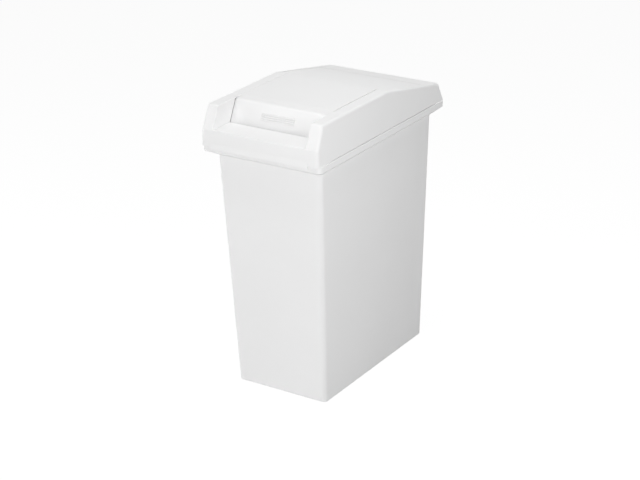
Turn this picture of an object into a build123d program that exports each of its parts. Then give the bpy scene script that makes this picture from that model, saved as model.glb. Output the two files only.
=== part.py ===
from build123d import *
from math import asin, atan2, cos, radians, sin
import os

# Slim kitchen bin: a tapered pail, a lift-off lid frame and a push flap that turns on two pins.
# Millimetres, +Z up, the front towards -Y, the origin on the floor under the middle of the pail.

# Pail
foot_width = 176.6
foot_depth = 313.9
neck_width = 201.6
neck_depth = 343.5
neck_height = 412.4
flare_rise = 11.4
flare_side = 13.6
flare_end = 21.8
rim_height = 10.6
pail_wall = 2.2
pail_corner = 8.0
inner_corner = 7.8
rim_corner = 7.5
foot_round = 3.0
rim_round = 0.9
flare_round = 1.2

# Pail floor: a channel round the edge that stands on the ground, and a raised middle
floor_wall = 2.5
floor_step = 4.0
floor_channel = 12.0
floor_slope = 3.0
floor_corner = 8.0

# Lid frame outline: how far its foot stands out past the pail's rim (at the sides it stands in), and how each
# face leans in as it rises
side_overhang = -1.2
front_overhang = 5.0
rear_overhang = 1.5
lid_height = 65.6
side_lean = 2.5
rear_lean = 14.6
fascia_height = 27.2
fascia_lean = 1.6
post_lean = 17.7
ridge_place = 13.5
rear_drop = 33.1
lid_corner = 6.5
lid_wall = 2.2
roof_round = 4.5

# Lid frame seat on the pail
seat_clearance = 0.5
skirt_drop = 7.0
skirt_wall = 2.0
skirt_web = 2.2
side_gap = 1.2
side_gap_margin = 28.8
gap_ramp = 20.0

# Finger lip under the fascia
lip_margin = 19.5
lip_height = 10.5
lip_drop = 2.4
lip_flare = 1.6
lip_wall = 2.1

# Recess and opening in the lid frame
post_width = 21.7
cheek_round = 2.0
ledge_depth = 46.8
ledge_rise = 1.0
ledge_curb = 8.0
curb_wall = 2.2
curb_depth = 32.0
rear_curb = 8.0
rear_strip = 46.8
side_strip = 8.2
seat_width = 8.0
seat_gap = 0.3
panel_slot = 8.0
web_wall = 2.0
web_depth = 18.0
side_webs = 5
side_web_pitch = 62.0
end_webs = 3
end_web_pitch = 60.0

# Flap
flap_wall = 2.2
flap_recess = 1.6
flap_gap = 0.7
wing_gap = 1.2
ledge_gap = 0.6
panel_lean = 18.0
panel_tail = 8.0
wing_back = 3.2
bend_round = 8.0
ridge_round = 12.0
tail_round = 4.0
flange_depth = 12.0
flange_wall = 2.0
flap_rib_depth = 8.0
flap_rib_wall = 1.8
flap_rib_place = 40.0

# Pivots: how far behind the front panel's top bend, and how far below the flap's top
pivot_back = 87.55
pivot_drop = 14.4
pin_radius = 3.0
pin_fit = 0.02
pin_running_fit = 0.1
pin_head_radius = 5.2
pin_head = 1.8
pin_side_play = 0.3
pin_chamfer = 0.6
pin_end = 1.0
ear_radius = 8.0
ear_wall = 3.0
boss_radius = 6.5
boss_length = 7.0
open_angle = 70.0
stop_radius = 2.5
stop_reach = 14.0
stop_gap = 0.3

# Reach of the cutting tools past the piece that they cut, and how near an edge is to the place it is picked by
headroom = 40.0
nearby = 0.2

# Pail, worked out
rim_width = neck_width + 2 * flare_side
rim_depth = neck_depth + 2 * flare_end
rim_low = neck_height + flare_rise
rim_top = rim_low + rim_height
flare_angle = atan2(flare_rise, flare_side)
flare_shift = pail_wall * (1 - sin(flare_angle)) / cos(flare_angle)
floor_top = floor_wall + floor_step

# Lid frame, worked out
lid_low = rim_top
fascia_top = lid_low + fascia_height
roof_height = lid_low + lid_height
lid_width = rim_width + 2 * side_overhang
roof_width = lid_width - 2 * side_lean
lid_front = rim_depth / 2 + front_overhang
fascia_front = lid_front - fascia_lean
roof_front = fascia_front - post_lean
lid_rear = rim_depth / 2 + rear_overhang
roof_rear = lid_rear - rear_lean
slope_angle = atan2(rear_drop, roof_rear - ridge_place)
skirt_inset = pail_wall + seat_clearance
web_low = lid_low + side_gap
side_gap_end = lid_front - side_gap_margin
above = roof_height + headroom
beyond = lid_width

# Opening and flap, worked out
opening_half = roof_width / 2 - post_width
curb_half = opening_half + curb_wall
flap_half = opening_half - flap_gap
rebate_half = roof_width / 2 - side_strip
wing_half = rebate_half - flap_gap
ledge_height = fascia_top + ledge_rise
opening_front = fascia_front - ledge_depth
panel_foot = opening_front - ledge_gap
panel_foot_height = fascia_top
panel_top = panel_foot - panel_lean
rebate_rear = roof_rear - rear_strip
flap_rear = rebate_rear - flap_gap
opening_rear = flap_rear - seat_width
wing_start = ridge_place + wing_back
rebate_front = wing_start - wing_gap
flap_top = roof_height - flap_recess
seat_depth = flap_recess + flap_wall + seat_gap
pivot_place = panel_top - pivot_back
pivot_height = flap_top - pivot_drop
flange_drop = flange_depth - pivot_drop


def between(low, high, share):
    """Value a share of the way from low to high."""
    return low + (high - low) * share


def roof_at(y, below=0.0):
    """Height of the roof at depth y, or of a surface that lies square below it."""
    if y <= ridge_place:
        return roof_height - below
    fall = rear_drop * (y - ridge_place) / (roof_rear - ridge_place)
    return roof_height - fall - below / cos(slope_angle)


def section(z, half_width, y_front, y_rear, corner):
    """Rounded rectangle at height z, between two depths."""
    with BuildSketch(Plane.XY.offset(z)) as outline:
        with Locations((0, (y_front + y_rear) / 2)):
            RectangleRounded(2 * half_width, y_rear - y_front, corner)
    return outline.sketch


def pail_section(z, width, depth, corner, inset=0.0):
    """Level section of the pail, drawn inwards by inset."""
    return section(z, width / 2 - inset, inset - depth / 2, depth / 2 - inset, corner - inset)


def lid_section(z, inset=0.0):
    """Level section of the lid frame at height z, drawn inwards by inset."""
    rise = (z - lid_low) / (roof_height - lid_low)
    half_width = between(lid_width, roof_width, rise) / 2
    if z <= fascia_top:
        y_front = between(-lid_front, -fascia_front, (z - lid_low) / fascia_height)
    else:
        y_front = between(-fascia_front, -roof_front, (z - fascia_top) / (roof_height - fascia_top))
    y_rear = between(lid_rear, roof_rear, (z - lid_low) / (roof_height - rear_drop - lid_low))
    return section(z, half_width - inset, y_front + inset, y_rear - inset, lid_corner - inset)


def lid_column(inset=0.0):
    """The lid frame's outline, up past its roof."""
    loft([lid_section(z, inset) for z in (lid_low, fascia_top, above)], ruled=True)


def side_profile(*points):
    """Closed outline seen from the side, as (depth, height) points."""
    with BuildSketch(Plane.YZ) as profile:
        with BuildLine():
            Polyline(*points, close=True)
        make_face()
    return profile.sketch


def cut_through(reach, *points):
    """Cut an outline seen from the side through the piece, as far as reach on each side."""
    extrude(side_profile(*points), amount=reach, both=True, mode=Mode.SUBTRACT)


def cut_above_roof(below=0.0):
    """Cut away everything above the roof, or above a surface that lies square below it."""
    cut_through(
        beyond,
        (-beyond, roof_at(-beyond, below)),
        (ridge_place, roof_at(ridge_place, below)),
        (beyond, roof_at(beyond, below)),
        (beyond, above),
        (-beyond, above),
    )


# Pail
with BuildPart() as bin_body:
    middle_width = (foot_width + neck_width) / 2
    middle_depth = (foot_depth + neck_depth) / 2
    outside = [
        pail_section(0, foot_width, foot_depth, pail_corner),
        pail_section(neck_height / 2, middle_width, middle_depth, pail_corner),
        pail_section(neck_height, neck_width, neck_depth, pail_corner),
        pail_section(rim_low, rim_width, rim_depth, rim_corner),
        pail_section(rim_top, rim_width, rim_depth, rim_corner),
    ]
    loft(outside, ruled=True)
    fillet(bin_body.edges().group_by(Axis.Z)[0], radius=foot_round)
    fillet(bin_body.edges().filter_by_position(Axis.Z, rim_low, rim_low), radius=flare_round)

    # Hollow, from the channel in the floor up through the flare
    floor_share = floor_wall / neck_height
    floor_width = between(foot_width, neck_width, floor_share)
    floor_depth = between(foot_depth, neck_depth, floor_share)
    hollow_corner = inner_corner + pail_wall
    inside = [
        pail_section(floor_wall, floor_width, floor_depth, hollow_corner, pail_wall),
        pail_section(neck_height + flare_shift, neck_width, neck_depth, hollow_corner, pail_wall),
        pail_section(rim_low + flare_shift, rim_width, rim_depth, rim_corner, pail_wall),
        pail_section(rim_top, rim_width, rim_depth, rim_corner, pail_wall),
    ]
    loft(inside, ruled=True, mode=Mode.SUBTRACT)
    fillet(bin_body.edges().group_by(Axis.Z)[-1], radius=rim_round)

    # Raised middle of the floor, hollow below
    raised_width = foot_width - 2 * floor_channel
    raised_depth = foot_depth - 2 * floor_channel
    plateau_width = raised_width - 2 * floor_slope
    plateau_depth = raised_depth - 2 * floor_slope
    raised = [
        pail_section(floor_wall, raised_width, raised_depth, floor_corner),
        pail_section(floor_top, plateau_width, plateau_depth, floor_corner),
    ]
    recess = [
        pail_section(0, raised_width, raised_depth, floor_corner, floor_wall),
        pail_section(floor_step, plateau_width, plateau_depth, floor_corner, floor_wall),
    ]
    loft(raised, ruled=True)
    loft(recess, ruled=True, mode=Mode.SUBTRACT)
bin_body.part.label = "bin_body"


# Space below the skin of the lid frame, less the walls, seat, bosses and webs that stand in it
with BuildPart() as lid_hollow:
    lid_column(lid_wall)
    cut_above_roof(lid_wall)

    # Floor and cheeks of the recess in front of the flap
    cut_through(
        curb_half,
        (-beyond, ledge_height - lid_wall),
        (-opening_front - curb_wall, ledge_height - lid_wall),
        (-opening_front - curb_wall, ledge_height - ledge_curb),
        (-opening_front, ledge_height - ledge_curb),
        (-opening_front, panel_foot_height),
        (-panel_foot, panel_foot_height),
        (-panel_top, flap_top),
        (-panel_top, above),
        (-beyond, above),
    )

    # Curb round the opening
    curb_front = panel_slot - panel_top
    curb_rear = opening_rear + curb_wall
    cut_through(
        curb_half,
        (curb_front, roof_height - curb_depth),
        (ridge_place, roof_height - curb_depth),
        (curb_rear, roof_at(curb_rear, seat_depth + rear_curb)),
        (curb_rear, above),
        (curb_front, above),
    )

    # Seat that the flap's rear panel closes on
    seat_front = rebate_front - curb_wall
    seat_rear = rebate_rear + curb_wall
    cut_through(
        rebate_half + curb_wall,
        (seat_front, roof_at(seat_front, seat_depth + lid_wall)),
        (ridge_place, roof_at(ridge_place, seat_depth + lid_wall)),
        (seat_rear, roof_at(seat_rear, seat_depth + lid_wall)),
        (seat_rear, above),
        (seat_front, above),
    )

    # Bosses for the pins
    with BuildSketch(Plane.YZ):
        with Locations((-pivot_place, pivot_height)):
            Circle(boss_radius)
    extrude(amount=curb_half + boss_length, both=True, mode=Mode.SUBTRACT)

    # Stiffening webs across the side rims, and along the front and the rear
    with BuildSketch(Plane.XY.offset(roof_height - rear_drop - web_depth)):
        with GridLocations(0, side_web_pitch, 1, side_webs):
            Rectangle(2 * beyond, web_wall)
        with GridLocations(end_web_pitch, 0, end_webs, 1):
            Rectangle(web_wall, 2 * beyond)
    extrude(amount=above, mode=Mode.SUBTRACT)


# Lid frame
with BuildPart() as lid_frame:
    lid_column()
    cut_above_roof()
    roof_faces = lid_frame.faces().filter_by(lambda face: face.normal_at().Z > cos(2 * slope_angle))
    ridge_edges = roof_faces[0].edges().filter_by(lambda edge: edge in roof_faces[1].edges())
    roof_edges = roof_faces.edges().filter_by(lambda edge: edge not in ridge_edges)
    fillet(roof_edges, radius=roof_round)
    add(lid_hollow.part, mode=Mode.SUBTRACT)

    # Recess and opening
    cut_through(
        opening_half,
        (-beyond, ledge_height),
        (-opening_front, ledge_height),
        (-opening_front, 0),
        (opening_rear, 0),
        (opening_rear, above),
        (-beyond, above),
    )
    cut_through(
        rebate_half,
        (rebate_front, roof_at(rebate_front, seat_depth)),
        (rebate_rear, roof_at(rebate_rear, seat_depth)),
        (rebate_rear, above),
        (rebate_front, above),
    )

    # Softened edges where the cheeks of the recess meet the posts
    cheek_edges = lid_frame.edges().filter_by(
        lambda edge: abs(abs(edge.center().X) - opening_half) < nearby
        and edge.center().Y < -roof_front - roof_round / 2
        and edge.center().Z > ledge_height
    )
    fillet(cheek_edges, radius=cheek_round)

    # Gap over the rim along each side
    side_gap_full = side_gap_end - gap_ramp
    cut_through(
        beyond,
        (-side_gap_end, lid_low),
        (-side_gap_full, web_low),
        (side_gap_full, web_low),
        (side_gap_end, lid_low),
    )

    # Finger lip that flares out from the foot of the fascia
    lip_top = lid_low + lip_height - lip_drop
    lip_low = lid_low - lip_drop
    lip = side_profile(
        (-lid_front, lip_top),
        (-lid_front - lip_flare, lip_low),
        (-lid_front - lip_flare + lip_wall, lip_low),
        (-lid_front + lip_wall, lid_low + lip_wall),
    )
    extrude(lip, amount=lid_width / 2 - lip_margin, both=True)

    # Skirt that drops inside the pail's rim, and the web that carries it
    skirt_low = lid_low - skirt_drop
    skirt = pail_section(skirt_low, rim_width, rim_depth, rim_corner, skirt_inset)
    skirt_hole = pail_section(skirt_low, rim_width, rim_depth, rim_corner, skirt_inset + skirt_wall)
    web = lid_section(web_low, lid_wall / 2)
    extrude(web, amount=skirt_web)
    extrude(skirt, amount=web_low - skirt_low)
    extrude(skirt_hole, amount=web_low + skirt_web - skirt_low, mode=Mode.SUBTRACT)

    # Bores for the pins, and the pegs that stop the open flap
    with BuildSketch(Plane.YZ):
        with Locations((-pivot_place, pivot_height)):
            Circle(pin_radius + pin_fit)
    extrude(amount=beyond / 2 - lid_corner, both=True, mode=Mode.SUBTRACT)
    peg_angle = radians(open_angle) + asin((stop_radius + stop_gap + flange_drop) / stop_reach)
    peg_place = -pivot_place - stop_reach * cos(peg_angle)
    peg_height = pivot_height - stop_reach * sin(peg_angle)
    for side in (-1, 1):
        with BuildSketch(Plane.YZ.offset(side * opening_half)):
            with Locations((peg_place, peg_height)):
                Circle(stop_radius)
        extrude(amount=-side * (flap_gap + flange_wall))
lid_frame.part.label = "lid_frame"


def ear_profile():
    """Ear round the flap's pivot, seen from the side, as far up as the flange."""
    with BuildSketch(Plane.YZ) as profile:
        with Locations((-pivot_place, pivot_height)):
            Circle(ear_radius)
            Rectangle(2 * ear_radius, flange_drop + flange_depth / 2, align=(Align.CENTER, Align.MIN))
    return profile.sketch


# Flap
with BuildPart() as flap:
    with BuildSketch(Plane.YZ):
        with BuildLine():
            FilletPolyline(
                (-panel_foot, panel_foot_height - panel_tail),
                (-panel_foot, panel_foot_height),
                (-panel_top, flap_top),
                (ridge_place, flap_top),
                (flap_rear, roof_at(flap_rear, flap_recess)),
                radius=[tail_round, bend_round, ridge_round],
            )
            offset(amount=flap_wall, side=Side.RIGHT)
        make_face()
    extrude(amount=flap_half, both=True)

    # Wings of the rear panel, which rest on the seat
    wing = side_profile(
        (wing_start, roof_at(wing_start, flap_recess)),
        (flap_rear, roof_at(flap_rear, flap_recess)),
        (flap_rear, roof_at(flap_rear, flap_recess + flap_wall)),
        (wing_start, roof_at(wing_start, flap_recess + flap_wall)),
    )
    extrude(wing, amount=wing_half, both=True)

    # Side flanges with an ear at each pivot, and two ribs along the underside
    skin_middle = flap_recess + flap_wall / 2
    flange_rear = opening_rear - flap_gap
    flange = side_profile(
        (-panel_foot + flap_wall, panel_foot_height),
        (-panel_top + flap_wall, roof_height - skin_middle),
        (ridge_place, roof_height - skin_middle),
        (flange_rear, roof_at(flange_rear, skin_middle)),
        (flange_rear, roof_at(flange_rear, seat_depth)),
        (ridge_place, flap_top - flange_depth),
        (-panel_top + flange_depth, flap_top - flange_depth),
        (-panel_foot + flange_depth, panel_foot_height),
    )
    ear = ear_profile()
    for side in (-1, 1):
        extrude(flange.moved(Location((side * flap_half, 0, 0))), amount=-side * flange_wall)
        extrude(ear.moved(Location((side * flap_half, 0, 0))), amount=-side * ear_wall)
    rib_front = flap_rib_depth - panel_top
    rib = side_profile(
        (rib_front, roof_height - skin_middle),
        (ridge_place, roof_height - skin_middle),
        (flange_rear, roof_at(flange_rear, skin_middle)),
        (ridge_place, roof_height - skin_middle - flap_rib_depth),
        (rib_front, roof_height - skin_middle - flap_rib_depth),
    )
    for side in (-1, 1):
        extrude(rib.moved(Location((side * flap_rib_place, 0, 0))), amount=flap_rib_wall / 2, both=True)

    # Bores for the pins
    with BuildSketch(Plane.YZ):
        with Locations((-pivot_place, pivot_height)):
            Circle(pin_radius + pin_running_fit)
    extrude(amount=beyond, both=True, mode=Mode.SUBTRACT)
flap.part.label = "flap"


def headed_pin(side):
    """Pin with its head inside the flap's ear, on the right for side 1 and on the left for side -1."""
    head_face = flap_half - ear_wall - pin_side_play
    tip = curb_half + boss_length - pin_end
    outwards = Plane(origin=(0, -pivot_place, pivot_height), x_dir=(side, 0, 0), z_dir=(0, 0, 1))
    with BuildSketch(outwards) as half:
        with BuildLine():
            Polyline(
                (head_face - pin_head, 0),
                (head_face - pin_head, pin_head_radius - pin_chamfer),
                (head_face - pin_head + pin_chamfer, pin_head_radius),
                (head_face, pin_head_radius),
                (head_face, pin_radius),
                (tip - pin_chamfer, pin_radius),
                (tip, pin_radius - pin_chamfer),
                (tip, 0),
                close=True,
            )
        make_face()
    revolve(half.sketch, axis=Axis((0, -pivot_place, pivot_height), (1, 0, 0)))


with BuildPart() as pivot_pin_left:
    headed_pin(-1)
pivot_pin_left.part.label = "pivot_pin_left"

with BuildPart() as pivot_pin_right:
    headed_pin(1)
pivot_pin_right.part.label = "pivot_pin_right"


os.makedirs("parts", exist_ok=True)
for piece in (bin_body, lid_frame, flap, pivot_pin_left, pivot_pin_right):
    export_step(piece.part, f"parts/{piece.part.label}.step")
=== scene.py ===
from math import cos, pi, radians, sin

import bmesh
import bpy
from mathutils import Matrix, Vector


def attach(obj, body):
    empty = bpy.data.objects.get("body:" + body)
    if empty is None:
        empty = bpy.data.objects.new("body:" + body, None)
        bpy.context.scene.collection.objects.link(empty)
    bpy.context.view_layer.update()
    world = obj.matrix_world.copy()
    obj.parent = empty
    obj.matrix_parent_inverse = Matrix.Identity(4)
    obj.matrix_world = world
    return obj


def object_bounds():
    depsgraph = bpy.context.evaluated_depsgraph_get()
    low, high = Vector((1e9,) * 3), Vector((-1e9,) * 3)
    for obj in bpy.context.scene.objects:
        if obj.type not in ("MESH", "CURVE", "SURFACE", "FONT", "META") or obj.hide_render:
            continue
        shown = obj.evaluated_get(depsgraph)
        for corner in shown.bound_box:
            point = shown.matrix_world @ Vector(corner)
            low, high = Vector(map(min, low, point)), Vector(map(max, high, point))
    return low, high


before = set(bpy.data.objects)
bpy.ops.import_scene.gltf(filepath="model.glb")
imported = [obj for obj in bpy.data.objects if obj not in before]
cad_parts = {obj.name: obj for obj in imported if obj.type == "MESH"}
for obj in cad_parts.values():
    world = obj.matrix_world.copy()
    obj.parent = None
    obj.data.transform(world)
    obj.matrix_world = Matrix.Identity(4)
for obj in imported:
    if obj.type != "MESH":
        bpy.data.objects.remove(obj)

cad_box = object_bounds()

# Lengths are in metres, angles in degrees.

# Camera, solved from the outline in the photograph
camera_yaw = 33.899
camera_pitch = 22.776
camera_roll = -1.509
camera_side = -0.021743
camera_rise = 0.202406
camera_distance = 3.163191
camera_focus_px = 1800
image_width_px = 640
sensor_width = 36

# Light: the level from all round, and the soft boxes as (name, direction, elevation, distance, size, watts)
sky_level = 0.20
backdrop_level = 1.0
soft_boxes = (
    ("front_box", -10, 28, 2.2, 1.4, 1.2),
    ("low_box", -8, 0, 2.2, 0.46, 10.2),
    ("left_box", -60, 8, 2.2, 1.6, 17.0),
    ("right_box", 62, 22, 1.1, 0.8, 4.9),
    ("top_box", 0, 88, 1.3, 1.2, 8.4),
    ("rear_box", 150, 6, 2.2, 1.6, 2.5),
)

# Floor
floor_radius = 9.0
floor_sides = 96
floor_tone = 0.66
floor_drop = 0.0002
floor_shown_white = 1.16
floor_white_share = 0.80

# White moulded plastic: colour, roughness, strength of the grain and gloss
pail_tone = (0.92, 0.92, 0.92)
lid_tone = (0.92, 0.92, 0.92)
pin_tone = (0.88, 0.88, 0.88)
pail_roughness = 0.46
lid_roughness = 0.42
pin_roughness = 0.35
pail_grain = 0.25
lid_grain = 0.20
pin_grain = 0.05
plastic_specular = 0.25

# Noise that varies the plastic, where scale counts its lumps in a metre
noise_low = 0.3
noise_high = 0.7
cloud_scale = 7.0
cloud_detail = 3.0
cloud_shade = 0.985
smear_scale = 22.0
smear_detail = 4.0
smear_depth = 0.04
grain_scale = 1400.0
grain_detail = 2.0
grain_depth = 0.00004
wave_scale = 9.0
wave_detail = 1.0
wave_strength = 0.6
wave_depth = 0.0006

# Plate that brings the flap's flat middle and rear panel up flush with the frame round them
plate_half = 0.0886
plate_wing_half = 0.1020
plate_front = -0.1240
plate_fade = 0.0160
plate_fade_steps = 10
plate_wing = 0.0169
plate_rear = 0.13295
plate_lift = 0.0015
plate_edge = 0.0003
plate_edge_steps = 2
plate_sink = 0.0006
flap_top = 0.4984
ridge_place = 0.0135
ridge_fall = 0.19826
ridge_half = 0.0012
ridge_steps = 2
crease_angle = 35

# Grip bars across the middle of the flap's front panel
bar_count = 4
bar_pitch = 0.0034
bar_length = 0.0640
bar_width = 0.0014
bar_rise = 0.0016
bar_sink = 0.0004
bar_round = 0.0003
bar_round_steps = 3
bar_corner = 0.0006
bar_corner_steps = 4
bar_flat = 0.00005
grip_lift = 0.0012
panel_flatness = 0.0002
panel_forward = -0.5
panel_upward = 0.1
round_profile = 0.5


def noise(tree, place, scale, detail):
    """Noise fixed to the object."""
    node = tree.nodes.new("ShaderNodeTexNoise")
    node.inputs["Scale"].default_value = scale
    node.inputs["Detail"].default_value = detail
    tree.links.new(place.outputs["Object"], node.inputs["Vector"])
    return node.outputs["Fac"]


def relief(tree, height, strength, depth):
    """Bump as strong and as deep as given."""
    node = tree.nodes.new("ShaderNodeBump")
    node.inputs["Strength"].default_value = strength
    node.inputs["Distance"].default_value = depth
    tree.links.new(height, node.inputs["Height"])
    return node


def moulded_plastic(name, tone, roughness, grain):
    """White polypropylene: a fine spark-eroded grain, slow waves in the wall and slightly uneven gloss."""
    material = bpy.data.materials.new(name)
    material.use_nodes = True
    tree = material.node_tree
    shader = tree.nodes["Principled BSDF"]
    place = tree.nodes.new("ShaderNodeTexCoord")

    # Colour: faint clouds where the melt cooled unevenly
    shades = tree.nodes.new("ShaderNodeValToRGB")
    dark, light = shades.color_ramp.elements
    dark.position = noise_low
    dark.color = (*(cloud_shade * level for level in tone), 1)
    light.position = noise_high
    light.color = (*tone, 1)
    tree.links.new(noise(tree, place, cloud_scale, cloud_detail), shades.inputs["Fac"])
    tree.links.new(shades.outputs["Color"], shader.inputs["Base Color"])

    # Gloss: weak, as the grain hides most of it, and a little uneven
    shader.inputs["Specular IOR Level"].default_value = plastic_specular
    gloss = tree.nodes.new("ShaderNodeMapRange")
    gloss.inputs["From Min"].default_value = noise_low
    gloss.inputs["From Max"].default_value = noise_high
    gloss.inputs["To Min"].default_value = roughness - smear_depth
    gloss.inputs["To Max"].default_value = roughness + smear_depth
    tree.links.new(noise(tree, place, smear_scale, smear_detail), gloss.inputs["Value"])
    tree.links.new(gloss.outputs["Result"], shader.inputs["Roughness"])

    # Relief: the mould's grain over slow waves
    fine = relief(tree, noise(tree, place, grain_scale, grain_detail), grain, grain_depth)
    slow = relief(tree, noise(tree, place, wave_scale, wave_detail), wave_strength, wave_depth)
    tree.links.new(slow.outputs["Normal"], fine.inputs["Normal"])
    tree.links.new(fine.outputs["Normal"], shader.inputs["Normal"])
    return material


def dress(node, material):
    """Give a CAD node its material."""
    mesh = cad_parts[node].data
    mesh.materials.clear()
    mesh.materials.append(material)


def aim(azimuth, elevation):
    """Unit vector towards a light or camera, with azimuth 0 in front and 90 on the right."""
    turn = radians(azimuth)
    rise = radians(elevation)
    return Vector((sin(turn) * cos(rise), -cos(turn) * cos(rise), sin(rise)))


def backdrop_share(tree):
    """Node output that is 1 where the camera, a gloss or glass looks at the backdrop."""
    path = tree.nodes.new("ShaderNodeLightPath")
    seen = path.outputs["Is Camera Ray"]
    for name in ("Is Glossy Ray", "Is Transmission Ray"):
        either = tree.nodes.new("ShaderNodeMath")
        either.operation = "MAXIMUM"
        tree.links.new(seen, either.inputs[0])
        tree.links.new(path.outputs[name], either.inputs[1])
        seen = either.outputs[0]
    return seen


def make_world():
    """A plain white backdrop that lights the object at its own level."""
    world = bpy.data.worlds.new("studio")
    bpy.context.scene.world = world
    world.use_nodes = True
    tree = world.node_tree
    tree.nodes.clear()
    sky = tree.nodes.new("ShaderNodeBackground")
    sky.inputs["Color"].default_value = (1, 1, 1, 1)
    sky.inputs["Strength"].default_value = sky_level
    white = tree.nodes.new("ShaderNodeBackground")
    white.inputs["Color"].default_value = (1, 1, 1, 1)
    white.inputs["Strength"].default_value = backdrop_level
    mix = tree.nodes.new("ShaderNodeMixShader")
    output = tree.nodes.new("ShaderNodeOutputWorld")
    tree.links.new(backdrop_share(tree), mix.inputs["Fac"])
    tree.links.new(sky.outputs[0], mix.inputs[1])
    tree.links.new(white.outputs[0], mix.inputs[2])
    tree.links.new(mix.outputs[0], output.inputs["Surface"])


def make_floor():
    """A pale floor that shows white and keeps a faint shadow."""
    mesh = bpy.data.meshes.new("floor")
    shape = bmesh.new()
    bmesh.ops.create_circle(shape, cap_ends=True, segments=floor_sides, radius=floor_radius)
    shape.to_mesh(mesh)
    shape.free()
    floor = bpy.data.objects.new("floor", mesh)
    floor.location.z = -floor_drop
    bpy.context.collection.objects.link(floor)
    material = bpy.data.materials.new("floor")
    material.use_nodes = True
    tree = material.node_tree
    tree.nodes.clear()
    matt = tree.nodes.new("ShaderNodeBsdfDiffuse")
    matt.inputs["Color"].default_value = (floor_tone, floor_tone, floor_tone, 1)
    white = tree.nodes.new("ShaderNodeEmission")
    white.inputs["Strength"].default_value = floor_shown_white
    share = tree.nodes.new("ShaderNodeMath")
    share.operation = "MULTIPLY"
    share.inputs[1].default_value = floor_white_share
    mix = tree.nodes.new("ShaderNodeMixShader")
    output = tree.nodes.new("ShaderNodeOutputMaterial")
    tree.links.new(backdrop_share(tree), share.inputs[0])
    tree.links.new(share.outputs[0], mix.inputs["Fac"])
    tree.links.new(matt.outputs[0], mix.inputs[1])
    tree.links.new(white.outputs[0], mix.inputs[2])
    tree.links.new(mix.outputs[0], output.inputs["Surface"])
    mesh.materials.append(material)


def make_lights():
    """Square soft boxes round the object, all aimed at its middle."""
    low, high = cad_box
    middle = (Vector(low) + Vector(high)) / 2
    for name, azimuth, elevation, distance, size, watts in soft_boxes:
        lamp = bpy.data.lights.new(name, "AREA")
        lamp.shape = "SQUARE"
        lamp.size = size
        lamp.energy = watts
        box = bpy.data.objects.new(name, lamp)
        way = aim(azimuth, elevation)
        box.location = middle + distance * way
        box.rotation_euler = way.to_track_quat("Z", "Y").to_euler()
        bpy.context.collection.objects.link(box)


def make_camera():
    """The photograph's camera."""
    data = bpy.data.cameras.new("camera")
    data.sensor_width = sensor_width
    data.lens = camera_focus_px * sensor_width / image_width_px
    turn = (
        Matrix.Rotation(radians(camera_yaw), 4, "Z")
        @ Matrix.Rotation(pi / 2 - radians(camera_pitch), 4, "X")
        @ Matrix.Rotation(radians(camera_roll), 4, "Z")
    )
    eye = turn @ Vector((camera_side, camera_rise, camera_distance))
    camera = bpy.data.objects.new("camera", data)
    camera.matrix_world = Matrix.Translation(eye) @ turn
    bpy.context.collection.objects.link(camera)
    bpy.context.scene.camera = camera


def soften(shape, edges, size, steps):
    """Round off edges of a shape."""
    bmesh.ops.bevel(shape, geom=edges, offset=size, segments=steps, affect="EDGES", profile=round_profile)


def flap_piece(name, shape):
    """Turn a shape into a smooth piece of the lid's plastic that swings with the flap."""
    bmesh.ops.recalc_face_normals(shape, faces=shape.faces)
    mesh = bpy.data.meshes.new(name)
    shape.to_mesh(mesh)
    shape.free()
    for face in mesh.polygons:
        face.use_smooth = True
    mesh.materials.append(lid_plastic)
    piece = bpy.data.objects.new(name, mesh)
    bpy.context.collection.objects.link(piece)
    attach(piece, "flap")
    return piece


def flap_surface(y):
    """Height of the flap's skin at depth y."""
    past = y - ridge_place
    if past < -ridge_half:
        return flap_top
    if past < ridge_half:
        return flap_top - ridge_fall * (past + ridge_half) ** 2 / (4 * ridge_half)
    return flap_top - ridge_fall * past


def plate_height(y):
    """Height of the plate's skin at depth y, with a smooth rise from the flap behind the front bend."""
    share = min(1.0, (y - plate_front) / plate_fade)
    return flap_surface(y) + plate_lift * share * share * (3 - 2 * share)


def make_flap_plate():
    """Thin plate on the flap, wider behind the ridge, that fades out towards the front bend."""
    fade = [
        plate_front + plate_fade * step / plate_fade_steps
        for step in range(plate_fade_steps + 1)
    ]
    ridge = [
        ridge_place + ridge_half * step / ridge_steps
        for step in range(-ridge_steps, ridge_steps + 1)
    ]
    shape = bmesh.new()
    rows = []
    for y in (*fade, *ridge, plate_wing, plate_rear):
        places = [-plate_half, plate_half]
        if y >= plate_wing:
            places = [-plate_wing_half, *places, plate_wing_half]
        rows.append({x: shape.verts.new((x, y, plate_height(y))) for x in places})
    for near, far in zip(rows, rows[1:]):
        for left, right in zip(list(near), list(near)[1:]):
            shape.faces.new((near[left], near[right], far[right], far[left]))
    rim = [
        edge for edge in shape.edges
        if edge.is_boundary and max(vert.co.y for vert in edge.verts) > plate_front
    ]
    walls = bmesh.ops.extrude_edge_only(shape, edges=rim)["geom"]
    for vert in (item for item in walls if isinstance(item, bmesh.types.BMVert)):
        vert.co.z = flap_surface(vert.co.y) - plate_sink
    soften(shape, rim, plate_edge, plate_edge_steps)
    plate = flap_piece("flap_plate", shape)
    plate.data.set_sharp_from_angle(angle=radians(crease_angle))


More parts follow.
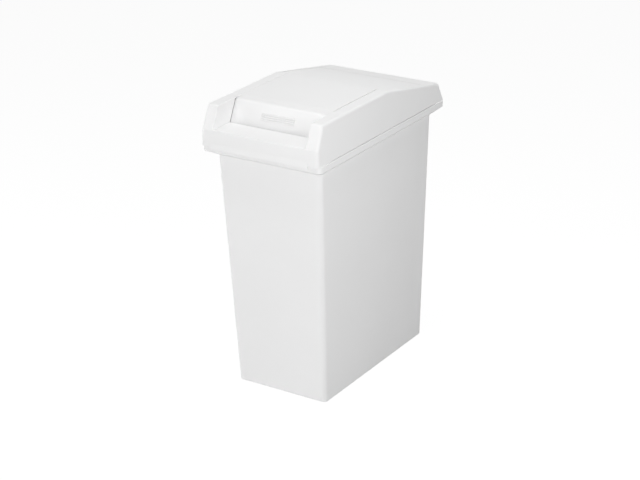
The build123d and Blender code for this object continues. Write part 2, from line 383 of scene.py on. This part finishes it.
def front_panel():
    """Middle of the flap's front panel, with unit vectors across it, up it and out of it."""
    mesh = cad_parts["flap"].data
    leaning = [
        face for face in mesh.polygons
        if face.normal.y < panel_forward and face.normal.z > panel_upward
    ]
    best = max(leaning, key=lambda face: face.area)
    out = best.normal.normalized()
    level = [vert.co for vert in mesh.vertices if abs((vert.co - best.center).dot(out)) < panel_flatness]
    low = min(level, key=lambda point: point.z)
    high = max(level, key=lambda point: point.z)
    middle = Vector((0, (low.y + high.y) / 2, (low.z + high.z) / 2))
    across = Vector((1, 0, 0))
    up = across.cross(out).normalized()
    if up.z < 0:
        up = -up
    return middle, across, up, out


def make_grip():
    """Raised bars one above the other, where a finger pushes the flap."""
    middle, across, up, out = front_panel()
    shape = bmesh.new()
    for step in range(bar_count):
        place = middle + ((step - (bar_count - 1) / 2) * bar_pitch + grip_lift) * up
        block = bmesh.ops.create_cube(shape, size=1)["verts"]
        turn = Matrix((across, up, out)).transposed().to_4x4()
        scale = Matrix.Diagonal((bar_length, bar_width, bar_rise + bar_sink, 1))
        seat = Matrix.Translation(place + out * (bar_rise - bar_sink) / 2)
        bmesh.ops.transform(shape, matrix=seat @ turn @ scale, verts=block)
    upright = [
        edge for edge in shape.edges
        if abs((edge.verts[0].co - edge.verts[1].co).dot(out)) > bar_rise / 2
    ]
    soften(shape, upright, bar_corner, bar_corner_steps)
    top = [
        edge for edge in shape.edges
        if min((vert.co - middle).dot(out) for vert in edge.verts) > bar_rise - bar_flat
    ]
    soften(shape, top, bar_round, bar_round_steps)
    flap_piece("flap_grip", shape)


make_camera()
make_world()
make_floor()
make_lights()
bpy.context.scene.view_settings.view_transform = "Standard"

pail_plastic = moulded_plastic("pail_plastic", pail_tone, pail_roughness, pail_grain)
lid_plastic = moulded_plastic("lid_plastic", lid_tone, lid_roughness, lid_grain)
pin_plastic = moulded_plastic("pin_plastic", pin_tone, pin_roughness, pin_grain)
dress("bin_body", pail_plastic)
dress("lid_frame", lid_plastic)
dress("flap", lid_plastic)
dress("pivot_pin_left", pin_plastic)
dress("pivot_pin_right", pin_plastic)
make_flap_plate()
make_grip()
